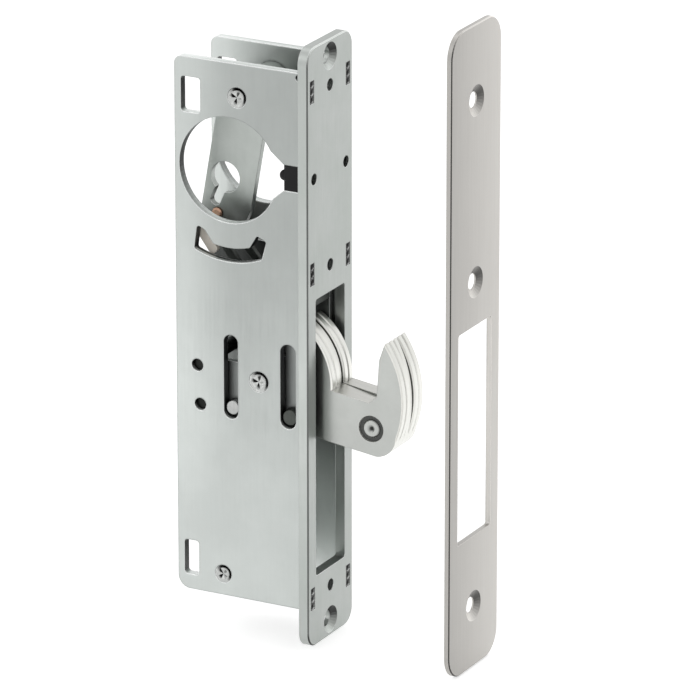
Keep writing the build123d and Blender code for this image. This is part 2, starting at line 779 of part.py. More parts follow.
def build_nodes():
    """Every piece of the lock under the name of its node."""
    nodes = {
        "front_plate": front_plate(),
        "near_side_plate": side_plate(-1),
        "far_side_plate": side_plate(1),
        "top_post": crossed_rivet(top_post_place, post_body_radius, top_post_end_radius),
        "bottom_post": crossed_rivet(bottom_post_place, post_body_radius, bottom_post_end_radius),
        "hook_pivot_pin": crossed_rivet(pivot_place, pivot_shaft_radius, pivot_end_radius),
        "high_stop_pin": stop_pin(high_stop_place),
        "low_stop_pin": stop_pin(low_stop_place),
        "clamp_block": clamp_block(),
        "near_clamp_screw": clamp_screw(-1),
        "far_clamp_screw": clamp_screw(1),
        "hook_rivet": hook_rivet(),
        "near_hook_washer": hook_washer(-1),
        "far_hook_washer": hook_washer(1),
        "near_slide_plate": slide_plate(-1),
        "far_slide_plate": slide_plate(1),
        "drive_pin": drive_pin(),
        "near_guide_stud": guide_stud(-1),
        "far_guide_stud": guide_stud(1),
        "slide_crossbar": crossbar(),
        "cam_plate": cam_plate(),
        "return_spring": return_spring(),
        "cam_lever": cam_lever(),
        "lever_rivet": lever_rivet(),
        "lever_pin": lever_pin(),
        "near_lever_foot": lever_foot(-1),
        "far_lever_foot": lever_foot(1),
        "near_lever_spacer": lever_spacer(-1),
        "far_lever_spacer": lever_spacer(1),
        "cover_plate": cover_plate(),
    }
    for number in range(1, hook_ply_count + 1):
        nodes[f"hook_ply_{number}"] = hook_ply(number)
    return nodes


os.makedirs("parts", exist_ok=True)
for name, piece in build_nodes().items():
    export_step(piece, f"parts/{name}.step")
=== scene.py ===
from math import cos, pi, radians, sin

import bpy
import numpy as np
from bpy.props import FloatProperty, FloatVectorProperty, IntProperty, PointerProperty
from mathutils import Matrix, Vector


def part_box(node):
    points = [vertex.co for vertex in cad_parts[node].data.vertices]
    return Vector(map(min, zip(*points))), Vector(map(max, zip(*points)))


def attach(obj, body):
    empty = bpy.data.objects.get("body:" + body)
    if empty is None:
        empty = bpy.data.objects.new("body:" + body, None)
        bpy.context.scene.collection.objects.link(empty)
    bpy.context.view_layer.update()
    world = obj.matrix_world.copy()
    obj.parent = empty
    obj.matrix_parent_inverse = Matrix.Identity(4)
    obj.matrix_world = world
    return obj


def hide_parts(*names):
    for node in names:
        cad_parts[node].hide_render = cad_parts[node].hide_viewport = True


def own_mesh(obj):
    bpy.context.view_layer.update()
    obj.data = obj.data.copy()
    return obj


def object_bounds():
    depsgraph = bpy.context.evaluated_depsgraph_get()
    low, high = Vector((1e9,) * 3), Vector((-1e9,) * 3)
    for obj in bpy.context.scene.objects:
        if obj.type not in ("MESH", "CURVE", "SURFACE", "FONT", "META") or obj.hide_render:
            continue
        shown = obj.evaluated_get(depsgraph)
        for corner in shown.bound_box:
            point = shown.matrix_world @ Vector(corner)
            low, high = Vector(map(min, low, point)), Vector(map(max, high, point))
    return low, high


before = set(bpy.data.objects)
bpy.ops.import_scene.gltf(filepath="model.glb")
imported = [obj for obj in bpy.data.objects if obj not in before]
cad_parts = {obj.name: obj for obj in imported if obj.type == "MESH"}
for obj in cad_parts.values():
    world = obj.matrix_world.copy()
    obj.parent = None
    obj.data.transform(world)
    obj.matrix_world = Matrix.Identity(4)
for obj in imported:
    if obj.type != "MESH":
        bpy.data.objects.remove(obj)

bl_info = {
    "name": "Sliding door hook lock",
    "version": (1, 0, 0),
    "blender": (4, 5, 0),
    "location": "View3D > Sidebar > Lock",
    "description": "Dresses a narrow hook lock and its cover plate in plated and satin steel",
    "category": "Object",
}

MM = 0.001
CAD_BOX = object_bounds()
X_AXIS = (1.0, 0.0, 0.0)
Y_AXIS = (0.0, 1.0, 0.0)

# Corners round a piece and rings along it
RIVET_SIDES, RIVET_RINGS = 64, 20
SCREW_SIDES, SCREW_RINGS, TIP_RINGS = 48, 100, 9
THREAD_SIDES, THREAD_RINGS = 40, 56
WIRE_SIDES, WIRE_STEPS = 10, 28


def centre_and_size(name):
    """The middle and the size of a node's box, as arrays in metres."""
    low, high = (np.array(corner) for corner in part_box(name))
    return (low + high) / 2, high - low


# Sizes, lamps and colours that a user would change

def length(name, description, millimetres):
    """A setting for a length."""
    return FloatProperty(name=name, description=description, default=millimetres * MM, unit="LENGTH",
                         precision=5)


def power(name, description, watts):
    """A setting for a lamp."""
    return FloatProperty(name=name, description=description, default=watts, unit="POWER")


def share(name, description, default):
    """A setting for a plain factor."""
    return FloatProperty(name=name, description=description, default=default, min=0.0)


def colour(name, description, default):
    """A setting for a colour."""
    return FloatVectorProperty(name=name, description=description, default=default, size=3, subtype="COLOR")


class StudioSettings(bpy.types.PropertyGroup):
    """The camera and the lamps."""

    azimuth: FloatProperty(name="Azimuth", description="Camera's turn round the lock",
                           default=radians(27.78), subtype="ANGLE")
    elevation: FloatProperty(name="Elevation", description="Camera's height above the horizon",
                             default=radians(19.21), subtype="ANGLE")
    distance: length("Distance", "From the camera to the middle of the front plate", 1774.9)
    lens: FloatProperty(name="Lens", description="Focal length in millimetres", default=342.2)
    step_right: length("Step right", "Camera's step to its right", 5.25)
    step_up: length("Step up", "Camera's step upwards", -2.27)
    key_power: power("Key power", "Large lamp high at the left", 1.8)
    edge_power: power("Edge power", "Lamp at the right, which catches the front edges", 0.6)
    top_power: power("Top power", "Lamp above the lock", 2.0)
    low_power: power("Low power", "Small lamp near the lower end of the case", 0.008)
    sky: share("Sky", "Strength of the world's soft light", 0.55)
    floor_glow: share("Floor glow", "White that the floor adds in the picture", 0.6)


class FinishSettings(bpy.types.PropertyGroup):
    """The colours of the lock's finishes."""

    zinc: colour("Zinc", "Plating of the front plate and the lever", (0.40, 0.425, 0.405))
    zinc_light: colour("Light zinc", "Paler patches of the front plate", (0.47, 0.485, 0.475))
    side_zinc: colour("Side zinc", "Plating of the side plates", (0.48, 0.505, 0.49))
    # Painted highlight: the bright colour laid on the upper rounded edges of the zinc parts
    zinc_edge_highlight: colour("Zinc walls", "Bright cut edges of the plates", (0.93, 0.95, 0.94))
    # Painted shade: the side plates grow darker towards their upper front corner
    corner_shade: share("Dull corner", "Brightness of the side plates' upper front corner", 0.72)
    rivet: colour("Rivets", "Rivets of the case", (0.43, 0.44, 0.43))
    hook_face: colour("Hook faces", "Brushed faces of the hook's plies", (0.36, 0.37, 0.355))
    # Partly painted highlight: the rims' own polish, made brighter to stand in for light on them
    hook_rim_polish_and_highlight: colour("Hook rims", "Bright edges of the hook's plies", (0.80, 0.80, 0.76))
    cover: colour("Cover", "Satin cover plate", (0.54, 0.525, 0.50))
    # Painted shade: how bright the cover stays at its near edge
    cover_near_shade: share("Cover near edge", "Brightness of its near edge beside the far one", 0.72)
    black: colour("Black", "Clamp block and screws", (0.005, 0.005, 0.0055))
    copper: colour("Copper", "Rivet of the lever", (0.50, 0.31, 0.22))
    # Partly painted shade: the inner steel is made darker to stand in for the shade inside the case
    inner: colour("Inner steel", "Slide, washers and spring inside the case", (0.19, 0.20, 0.195))
    # Partly painted shade: made dark so the recessed studs and pins stand in for the shade round them
    stud: colour("Guide studs", "Dark studs, pins and cam plate", (0.06, 0.065, 0.06))
    foot: colour("Foot", "Pale feet of the lever", (0.88, 0.82, 0.73))


class DetailSettings(bpy.types.PropertyGroup):
    """The sizes of small details that the CAD parts leave to the looks."""

    edge_round: length("Edge round", "Rounding of stamped edges", 0.25)
    rivet_rise: length("Rivet rise", "Height of the peened collar on the rivets", 0.24)
    rivet_dent: length("Rivet dent", "Depth of the star on the rivets", 1.0)
    top_rivet: length("Top rivet", "Radius of its ends", 2.8)
    bottom_rivet: length("Bottom rivet", "Radius of its ends", 2.5)
    pivot_rivet: length("Pivot rivet", "Radius of its ends", 2.9)
    pitch: length("Pitch", "Pitch of the threads", 0.7)
    groove: length("Groove", "Depth of the threads", 0.25)
    thread_radius: length("Thread radius", "Holes for the cover plate's screws", 1.7)
    thread_heights: FloatVectorProperty(name="Thread heights", description="Heights of those three holes",
                                        default=(0.0716, 0.0217, -0.0695), size=3, unit="LENGTH",
                                        precision=5)
    socket_radius: length("Socket radius", "Hexagon sockets of the clamp screws", 0.95)
    socket_depth: length("Socket depth", "Depth of those sockets", 2.0)
    spring_turns: IntProperty(name="Spring turns", description="Coils of the return spring", default=6)
    spring_wire: length("Spring wire", "Radius of the spring's wire", 0.35)


def studio():
    """The studio's settings."""
    return bpy.context.scene.lock_studio


def finishes():
    """The colours of the finishes."""
    return bpy.context.scene.lock_finishes


def details():
    """The sizes of the details."""
    return bpy.context.scene.lock_details


# Surfaces

def surface(name, points, capped=True):
    """A mesh from a grid of points, rows by columns by 3, closed round each row and capped at both ends."""
    rows, columns = points.shape[:2]
    index = np.arange(rows * columns).reshape(rows, columns)
    across = np.roll(index, -1, axis=1)
    quads = np.stack([index[:-1], across[:-1], across[1:], index[1:]], axis=-1).reshape(-1, 4)
    faces = quads.tolist()
    if capped:
        faces += [index[0][::-1].tolist(), index[-1].tolist()]
    mesh = bpy.data.meshes.new(name)
    mesh.from_pydata(points.reshape(-1, 3).tolist(), [], faces)
    mesh.polygons.foreach_set("use_smooth", np.ones(len(mesh.polygons), bool))
    mesh.update()
    return mesh


def piece(name, points, material, body, capped=True):
    """Put a surface into the scene as a finished piece that rides on a body."""
    mesh = surface(name, points, capped)
    mesh.materials.append(material)
    made = bpy.data.objects.new(name, mesh)
    bpy.context.scene.collection.objects.link(made)
    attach(made, body)
    return made


def circle(sides):
    """Angles round a circle, the last one a step short of the first."""
    return np.linspace(0, 2 * pi, sides, endpoint=False)


def ridge(turn):
    """A rounded thread form: 0 in the groove and 1 on the crest, once for each whole turn."""
    return (1 - np.cos(2 * pi * turn)) / 2


def swell(radius, middle, width):
    """A smooth ring: exp(-((radius - middle) / width)^2)."""
    return np.exp(-((radius - middle) / width) ** 2)


def peened(radius, angle, rise, dent, lean):
    """The height of a riveted end over its plate, for a radius as a share of the end's and an angle.

    A collar stands at 0.6 of the radius, four uneven dents cut it, and a crescent sinks at the upper right:
    rise swell(r, 0.6, 0.26) - dent (w(a) max(0, cos 4(a - lean)) swell(r, 0.45, 0.3)
    + 0.8 c(a) swell(r, 0.85, 0.15)), with w = (1 - 0.6 cos a) / 1.6 and c = cos(a + 45 degrees) + 0.4,
    held between 0 and 1."""
    star = np.clip(np.cos(4 * (angle - lean)), 0, 1) * swell(radius, 0.45, 0.3)
    worn_side = (1 - 0.6 * np.cos(angle)) / 1.6
    crescent = np.clip(np.cos(angle + pi / 4) + 0.4, 0, 1) * swell(radius, 0.85, 0.15)
    return rise * swell(radius, 0.6, 0.26) - dent * (worn_side * star + 0.8 * crescent)


def rivet_points(centre, shaft, end, inner, outer, lean):
    """A shouldered rivet along Y, peened at both ends, as rings from one end's middle to the other's.

    Ring i lies at centre + r_i (cos a, 0, -sin a) + y_i(a) (0, 1, 0)."""
    size = details()
    first_share = 0.03
    angle = circle(RIVET_SIDES)
    out = np.linspace(first_share, 1.0, RIVET_RINGS)[:, None]
    top = outer + peened(out, angle, size.rivet_rise, size.rivet_dent, lean)
    flat = np.ones_like(angle)
    reach = np.concatenate([out * end * flat, [end * flat, shaft * flat]])
    depth = np.concatenate([top, [inner * flat, inner * flat]])
    radius = np.concatenate([reach, reach[::-1]])[..., None]
    side = np.concatenate([-depth, depth[::-1]])[..., None]
    ring = np.stack([np.cos(angle), np.zeros_like(angle), -np.sin(angle)], axis=1)
    return np.array(centre) + radius * ring + side * np.array(Y_AXIS)


def screw_points(tip, long, radius, socket_radius, socket_depth):
    """A headless screw along X from its rounded tip, as rings of radius r(x, a).

    On the thread r = radius - groove (1 - ridge(x / pitch - a / 2 pi)). The tip is a quarter ellipse, and
    the last rings turn into a hexagon socket, r = apothem / cos(a folded to a sixth of a turn)."""
    size = details()
    first_angle, tip_share, closing = 0.08, 0.8, 0.1
    angle = circle(SCREW_SIDES)
    flat = np.ones_like(angle)
    quarter = np.linspace(first_angle, pi / 2, TIP_RINGS)
    tip_x = radius * tip_share * (1 - np.cos(quarter))
    tip_r = (radius - size.groove) * np.sin(quarter)
    thread_x = np.linspace(tip_x[-1], long, SCREW_RINGS)[1:]
    fade = np.clip((thread_x - tip_x[-1]) / size.pitch, 0, 1)[:, None]
    thread_r = radius - size.groove * (1 - fade * ridge(thread_x[:, None] / size.pitch - angle / (2 * pi)))
    fold = (angle + pi / 6) % (pi / 3) - pi / 6
    hexagon = socket_radius * cos(pi / 6) / np.cos(fold)
    rows = [r * flat for r in tip_r] + list(thread_r) + [hexagon, hexagon, closing * hexagon]
    places = [*tip_x, *thread_x, long, long - socket_depth, long - socket_depth]
    ring = np.stack([np.zeros_like(angle), np.cos(angle), np.sin(angle)], axis=1)
    along = np.array(places)[:, None, None] * np.array(X_AXIS)
    return np.array(tip) + along + np.array(rows)[..., None] * ring


def thread_points(mouth, depth, radius):
    """The thread in a hole along X, as rings of radius r(x, a) = radius + groove (0.1 - ridge(x / pitch
    - a / 2 pi))."""
    size = details()
    angle = circle(THREAD_SIDES)
    place = np.linspace(0, -depth, THREAD_RINGS)[:, None]
    reach = radius + size.groove * (0.1 - ridge(place / size.pitch - angle / (2 * pi)))
    ring = np.stack([np.zeros_like(angle), np.cos(angle), np.sin(angle)], axis=1)
    return np.array(mouth) + place[..., None] * np.array(X_AXIS) + reach[..., None] * ring


def coil(centre, radius, wire, low, high, turns):
    """A round wire along a helix: at angle a its middle is centre + radius (cos a, sin a), climbing evenly.

    Each ring lies in the plane of the outward direction and the direction square to it and to the path."""
    angle = np.linspace(0, 2 * pi * turns, int(turns * WIRE_STEPS) + 1)
    height = np.linspace(low, high, len(angle))
    out = np.stack([np.cos(angle), np.sin(angle), np.zeros_like(angle)], axis=1)
    climb = (high - low) / (2 * pi * turns)
    along = np.stack([-radius * np.sin(angle), radius * np.cos(angle), np.full_like(angle, climb)], axis=1)
    along /= np.linalg.norm(along, axis=1)[:, None]
    up = np.cross(along, out)
    axis = np.stack([np.full_like(angle, centre[0]), np.full_like(angle, centre[1]), height], axis=1)
    turn = circle(WIRE_SIDES)
    ring = np.cos(turn)[None, :, None] * out[:, None] + np.sin(turn)[None, :, None] * up[:, None]
    return (radius * out + axis)[:, None] + wire * ring


# Nodes

def feed(tree, socket, value):
    """Link a socket to another one, or give it a plain value."""
    if isinstance(value, bpy.types.NodeSocket):
        tree.links.new(value, socket)
    else:
        socket.default_value = value


def node(tree, kind, values=None, **settings):
    """A node with its properties set and its inputs fed, each by its name or number."""
    made = tree.nodes.new(kind)
    for key, value in settings.items():
        setattr(made, key, value)
    for key, value in (values or {}).items():
        feed(tree, made.inputs[key], value)
    return made


def number(tree, operation, *values):
    """The result of a Math node on one or two numbers."""
    return node(tree, "ShaderNodeMath", dict(enumerate(values)), operation=operation).outputs[0]


def dot(tree, first, second):
    """How far one vector reaches along another: the sum of the products of their parts."""
    made = node(tree, "ShaderNodeVectorMath", {0: first, 1: second}, operation="DOT_PRODUCT")
    return made.outputs["Value"]


def scaled(tree, given, factor):
    """A colour times a number."""
    return node(tree, "ShaderNodeVectorMath", {0: given, "Scale": factor}, operation="SCALE").outputs[0]


def part(tree, vector, axis):
    """The X, Y or Z of a vector."""
    return node(tree, "ShaderNodeSeparateXYZ", {0: vector}).outputs[axis]


def ramp(tree, value, start, end, first=0.0, last=1.0, **settings):
    """A number that goes from first to last while the value goes from start to end, and stays there."""
    values = {"Value": value, "From Min": start, "From Max": end, "To Min": first, "To Max": last}
    return node(tree, "ShaderNodeMapRange", values, **settings).outputs["Result"]


# The Mix node's sockets share their names, so they are known by number
MIX_FACTOR = 0
MIX_NUMBERS, MIXED_NUMBER = (2, 3), 0
MIX_COLOURS, MIXED_COLOUR = (6, 7), 2


def blend_colours(tree, factor, first, second):
    """The first colour where the factor is 0 and the second where it is 1."""
    values = {MIX_FACTOR: factor, MIX_COLOURS[0]: first, MIX_COLOURS[1]: second}
    return node(tree, "ShaderNodeMix", values, data_type="RGBA").outputs[MIXED_COLOUR]


def one_or(tree, mask, value):
    """1 where a mask is 0, and the value where it is 1."""
    values = {MIX_FACTOR: mask, MIX_NUMBERS[0]: 1.0, MIX_NUMBERS[1]: value}
    return node(tree, "ShaderNodeMix", values, data_type="FLOAT").outputs[MIXED_NUMBER]


def noise(tree, place, scale, detail, roughness=0.5):
    """A cloudy number between 0 and 1."""
    values = {"Vector": place, "Scale": scale, "Detail": detail, "Roughness": roughness}
    return node(tree, "ShaderNodeTexNoise", values).outputs["Fac"]


# Shader effects that several finishes share

NUMBER = "NodeSocketFloat"
COLOUR = "NodeSocketColor"
VECTOR = "NodeSocketVector"


def new_group(name, inputs, outputs):
    """An empty shader group with named sockets; each is a name, a type and a default if it has one."""
    group = bpy.data.node_groups.new(name, "ShaderNodeTree")
    for way, sockets in (("INPUT", inputs), ("OUTPUT", outputs)):
        for label, kind, *default in sockets:
            socket = group.interface.new_socket(label, in_out=way, socket_type=kind)
            if default:
                socket.default_value = default[0]
    return group, group.nodes.new("NodeGroupInput").outputs, group.nodes.new("NodeGroupOutput").inputs


def mottle_group():
    """Soft patches between two colours: a noise of the given size, sharpened, times the amount."""
    group, given, result = new_group(
        "plating_mottle",
        [("Vector", VECTOR), ("Colour", COLOUR, (0.5, 0.5, 0.5, 1)), ("Patches", COLOUR, (0.6, 0.6, 0.6, 1)),
         ("Scale", NUMBER, 60.0), ("Amount", NUMBER, 0.6)],
        [("Colour", COLOUR)])
    gap, patch = 0.36, 0.66
    cloud = noise(group, given["Vector"], given["Scale"], detail=5.0, roughness=0.62)
    mask = number(group, "MULTIPLY", ramp(group, cloud, gap, patch), given["Amount"])
    feed(group, result["Colour"], blend_colours(group, mask, given["Colour"], given["Patches"]))
    return group


def grain_group():
    """Brushed lines: a noise stretched along one way, as a height and as a band of roughness."""
    group, given, result = new_group(
        "brushed_grain",
        [("Vector", VECTOR), ("Stretch", VECTOR, (1.0, 1.0, 0.03)), ("Scale", NUMBER, 2500.0),
         ("Low", NUMBER, 0.3), ("High", NUMBER, 0.42)],
        [("Height", NUMBER), ("Roughness", NUMBER)])
    hollow, crest = 0.3, 0.7
    stretched = node(group, "ShaderNodeVectorMath", {0: given["Vector"], 1: given["Stretch"]},
                     operation="MULTIPLY")
    lines = noise(group, stretched.outputs[0], given["Scale"], detail=3.0)
    feed(group, result["Height"], lines)
    feed(group, result["Roughness"], ramp(group, lines, hollow, crest, given["Low"], given["High"]))
    return group


def edge_group():
    """Rounded edges: the normal of a small bevel, and a mask that is 1 where it turns from the true normal.

    A second mask keeps only the edges that don't face down, where a painted highlight goes as if lit from
    above."""
    group, given, result = new_group(
        "rounded_edges",
        [("Radius", NUMBER, 0.0002)],
        [("Normal", VECTOR), ("Edge", NUMBER), ("Upper edge", NUMBER)])
    flat, edge = 0.995, 0.8
    down, up = -0.1, 0.25
    bevel = node(group, "ShaderNodeBevel", {"Radius": given["Radius"]}, samples=6).outputs[0]
    normal = node(group, "ShaderNodeNewGeometry").outputs["Normal"]
    turned = ramp(group, dot(group, bevel, normal), flat, edge)
    upward = ramp(group, part(group, bevel, "Z"), down, up)
    feed(group, result["Normal"], bevel)
    feed(group, result["Edge"], turned)
    feed(group, result["Upper edge"], number(group, "MULTIPLY", upward, turned))
    return group


def flat_side_group():
    """A mask that is 1 on faces square to Y, which keeps its sense while a piece turns about Y."""
    group, given, result = new_group("flat_sides", [], [("Mask", NUMBER)])
    square = 0.9
    normal = node(group, "ShaderNodeNewGeometry").outputs["True Normal"]
    lean = number(group, "ABSOLUTE", part(group, normal, "Y"))
    feed(group, result["Mask"], number(group, "GREATER_THAN", lean, square))
    return group


def slope_group():
    """Painted light and shade on cut walls and cones: 1 on faces square to the axis, else from dark to
    bright by a given light direction.

    A wall whose normal leans on the axis by less than the least lean keeps 1 too."""
    group, given, result = new_group(
        "lit_slopes",
        [("Axis", VECTOR, Y_AXIS), ("Light", VECTOR, (0.0, 0.0, 1.0)), ("Least lean", NUMBER, -1.0),
         ("Dark", NUMBER, 0.2), ("Bright", NUMBER, 1.6)],
        [("Tone", NUMBER), ("Slope", NUMBER)])
    square = 0.95
    unlit, full = -0.6, 0.75
    normal = node(group, "ShaderNodeNewGeometry").outputs["True Normal"]
    lean = number(group, "ABSOLUTE", dot(group, normal, given["Axis"]))
    off_square = number(group, "LESS_THAN", lean, square)
    leaning = number(group, "GREATER_THAN", lean, given["Least lean"])
    slope = number(group, "MULTIPLY", off_square, leaning)
    lit = ramp(group, dot(group, normal, given["Light"]), unlit, full, given["Dark"], given["Bright"])
    feed(group, result["Tone"], one_or(group, slope, lit))
    feed(group, result["Slope"], slope)
    return group


def depth_group():
    """Painted shade in pits by depth: a tone that falls from 1 to the floor between the unshaded and the
    shaded distance.

    The distances are from zero along one axis, and beyond the last one the tone is 1 again."""
    group, given, result = new_group(
        "depth_tone",
        [("Vector", VECTOR), ("Axis", VECTOR, X_AXIS), ("Clean", NUMBER, 0.0), ("Grimy", NUMBER, 0.0005),
         ("Last", NUMBER, 0.001), ("Floor", NUMBER, 0.15)],
        [("Tone", NUMBER)])
    away = number(group, "ABSOLUTE", dot(group, given["Vector"], given["Axis"]))
    fall = ramp(group, away, given["Clean"], given["Grimy"], 1.0, given["Floor"])
    after = number(group, "GREATER_THAN", away, number(group, "MINIMUM", given["Clean"], given["Last"]))
    before = number(group, "LESS_THAN", away, number(group, "MAXIMUM", given["Clean"], given["Last"]))
    within = number(group, "MULTIPLY", after, before)
    feed(group, result["Tone"], one_or(group, within, fall))
    return group


def crevice_group():
    """Painted shade in pits and grooves: from 1 in the open to the floor where the surroundings close a
    point in.
    """
    group, given, result = new_group(
        "crevice_shade",
        [("Reach", NUMBER, 0.0012), ("Floor", NUMBER, 0.35)],
        [("Shade", NUMBER)])
    closed, clear = 0.3, 0.8
    near = node(group, "ShaderNodeAmbientOcclusion", {"Distance": given["Reach"]}, samples=6)
    feed(group, result["Shade"], ramp(group, near.outputs["AO"], closed, clear, given["Floor"]))
    return group


GROUP_MAKERS = {"plating_mottle": mottle_group, "brushed_grain": grain_group, "rounded_edges": edge_group,
                "flat_sides": flat_side_group, "crevice_shade": crevice_group, "lit_slopes": slope_group,
                "depth_tone": depth_group}


def effect(tree, name, **values):
    """The outputs of a shared effect, placed in a material with its own values and links."""
    group = bpy.data.node_groups.get(name) or GROUP_MAKERS[name]()
    return node(tree, "ShaderNodeGroup", values, node_tree=group).outputs


# Finishes

def rgba(given):
    """A colour for a socket."""
    return (*given, 1.0)


def times(given, factor):
    """A colour made darker or brighter."""
    return tuple(factor * level for level in given)


def new_material(name):
    """A new material with its tree and the inputs of its shader."""
    material = bpy.data.materials.new(name)
    material.use_nodes = True
    return material, material.node_tree, material.node_tree.nodes["Principled BSDF"].inputs


def pit_shade(axis, unshaded, shaded, last, floor):
    """Values for the painted shade by depth."""
    return {"Axis": axis, "Clean": unshaded, "Grimy": shaded, "Last": last, "Floor": floor}


def lit_slopes(axis, light, dark, bright, least_lean=-1.0):
    """Values for the painted light and shade on slopes."""
    return {"Axis": axis, "Light": light, "Dark": dark, "Bright": bright, "Least lean": least_lean}


class Coat:
    """A finish in the making: patches of colour, brushed lines and rounded edges, then the steps below."""

    matt_metal = 0.35  # how metallic the matt slopes stay

    def __init__(self, name, base, patches, patch_scale, amount, stretch, line_scale, rough, edge,
                 metallic=1.0):
        """Base and patches are the two colours, and rough holds the least and the most roughness."""
        self.material, self.tree, self.shader = new_material(name)
        self.shader["Metallic"].default_value = metallic
        self.place = node(self.tree, "ShaderNodeTexCoord").outputs["Object"]
        mottle = effect(self.tree, "plating_mottle", Vector=self.place, Colour=rgba(base),
                        Patches=rgba(patches), Scale=patch_scale, Amount=amount)
        self.colour = mottle["Colour"]
        self.grain = effect(self.tree, "brushed_grain", Vector=self.place, Stretch=stretch, Scale=line_scale,
                            Low=rough[0], High=rough[1])
        self.edges = effect(self.tree, "rounded_edges", Radius=edge)
        feed(self.tree, self.shader["Roughness"], self.grain["Roughness"])

    def along(self, axis):
        """The object's own X, Y or Z."""
        return part(self.tree, self.place, axis)

    def scale(self, factor):
        """Scale the colour by a number."""
        self.colour = scaled(self.tree, self.colour, factor)

    def paint_corner_shade(self, least, low, middle):
        """Paint shade towards the upper front corner, by smooth steps along X and Z up to the middle."""
        steps = (ramp(self.tree, self.along(axis), low[axis], middle[axis], interpolation_type="SMOOTHSTEP")
                 for axis in (0, 2))
        both = number(self.tree, "MULTIPLY", *steps)
        self.scale(ramp(self.tree, both, 0.0, 1.0, 1.0, least))

    def shade_inside(self, face, height, near, far, dark, bright):
        """Paint shade on what lies nearer to the middle than a face across Y.

        The tone goes from dark to bright while the distance from a height goes from near to far."""
        inside = number(self.tree, "LESS_THAN", number(self.tree, "ABSOLUTE", self.along("Y")), face)
        away = number(self.tree, "ABSOLUTE", number(self.tree, "SUBTRACT", self.along("Z"), height))
        self.scale(one_or(self.tree, inside, ramp(self.tree, away, near, far, dark, bright)))

    def paint_pit_shade(self, depth):
        """Paint shade in pits by their depth."""
        self.scale(effect(self.tree, "depth_tone", Vector=self.place, **depth)["Tone"])

    def light_slopes(self, slopes, matt):
        """Paint light and shade on cut walls and cones; matt ones are also less metallic."""
        tone = effect(self.tree, "lit_slopes", **slopes)
        self.scale(tone["Tone"])
        if matt:
            feed(self.tree, self.shader["Metallic"],
                 ramp(self.tree, tone["Slope"], 0.0, 1.0, 1.0, self.matt_metal))

    def paint_highlights_and_shade(self, edges, bright, floor=0.35, reach=1.2 * MM, slopes=None, depth=None, matt=False):
        """Paint highlights on the edges, partly the polish of handling, paint light and shade on slopes and
        shade in pits, and paint shade in crevices.
        """
        self.colour = blend_colours(self.tree, self.edges[edges], self.colour, rgba(bright))
        if slopes:
            self.light_slopes(slopes, matt)
        if depth:
            self.paint_pit_shade(depth)
        self.scale(effect(self.tree, "crevice_shade", Reach=reach, Floor=floor)["Shade"])

    def done(self, depth, distance=0.1 * MM):
        """Link the colour, lay the brushed lines as a fine height over the rounded edges, and return it."""
        values = {"Strength": depth, "Distance": distance, "Height": self.grain["Height"],
                  "Normal": self.edges["Normal"]}
        bump = node(self.tree, "ShaderNodeBump", values)
        feed(self.tree, self.shader["Normal"], bump.outputs["Normal"])
        feed(self.tree, self.shader["Base Color"], self.colour)
        return self.material


def plated(name, base, patches, bright, patch_scale, rough, edge, floor=0.35, corner_shade=None, inside=(),
           slopes=None, depth=None):
    """Zinc plating: soft patches of two greys, faint rolling lines, a painted highlight on the rounded upper
    edges and painted shade in crevices, with optional painted shade towards a corner, inside the case and in
    pits, and painted light on slopes.
    """
    coat = Coat(name, base, patches, patch_scale, amount=0.6, stretch=(1.0, 1.0, 0.05), line_scale=1500.0,
                rough=rough, edge=edge)
    if corner_shade:
        coat.paint_corner_shade(**corner_shade)
    for zone in inside:
        coat.shade_inside(**zone)
    coat.paint_highlights_and_shade("Upper edge", bright, floor, slopes=slopes, depth=depth, matt=True)
    return coat.done(0.12)


def hook_finish():
    """Bright stainless: brushed faces and polished rims on the plies' edges, brightened further by a painted
    highlight, with painted shade in the joints between them, in shallow recesses and towards the inside of
    the case.
    """
    look = finishes()
    coat = Coat("hook_stainless", look.hook_face, times(look.hook_face, 1.12), patch_scale=120.0, amount=0.7,
                stretch=(0.1, 1.0, 1.0), line_scale=5000.0, rough=(0.28, 0.33), edge=details().edge_round)
    outer = centre_and_size("hook_rivet")[1][1] / 2
    # Painted shade on what lies 0.2 to 0.6 mm inside the outer faces
    coat.paint_pit_shade(pit_shade(Y_AXIS, outer - 0.2 * MM, outer - 0.4 * MM, outer - 0.6 * MM, floor=0.15))
    side = effect(coat.tree, "flat_sides")
    # Rims take the rim colour: their polish, with a painted highlight
    coat.colour = blend_colours(coat.tree, side["Mask"], rgba(look.hook_rim_polish_and_highlight), coat.colour)
    # Painted shade: darker towards the inside of the case
    coat.scale(ramp(coat.tree, coat.along("X"), -12 * MM, -3 * MM, 0.25))
    # Painted light and shade on the rims and the throat
    throat = lit_slopes(Y_AXIS, light=(1.1, 0, -0.2), dark=0.5, bright=1.0)
    # Painted highlight on the edges and painted shade in the joints between the plies
    coat.paint_highlights_and_shade("Edge", look.hook_rim_polish_and_highlight, floor=0.1, reach=0.6 * MM, slopes=throat)
    return coat.done(0.02)


def satin_finish():
    """Satin steel, brushed along its length, with painted shade towards its near edge, painted light and
    shade on its cones and a painted highlight on its edges.
    """
    look = finishes()
    coat = Coat("satin_steel", look.cover, times(look.cover, 1.1), patch_scale=14.0, amount=0.5,
                stretch=(1.0, 1.0, 0.012), line_scale=3200.0, rough=(0.34, 0.46), edge=details().edge_round)
    centre, size = centre_and_size("cover_plate")
    near, far = centre[1] - size[1] / 2, centre[1] + size[1] / 2
    # Painted shade: darker towards the near edge
    coat.scale(ramp(coat.tree, coat.along("Y"), near, far, look.cover_near_shade))
    # Painted light and shade on the cones, and a painted highlight on the edges
    cones = lit_slopes(X_AXIS, light=(0, 1.1, 0.6), dark=0.16, bright=2.0, least_lean=0.2)
    coat.paint_highlights_and_shade("Edge", times(look.cover, 1.5), slopes=cones)
    return coat.done(0.2)


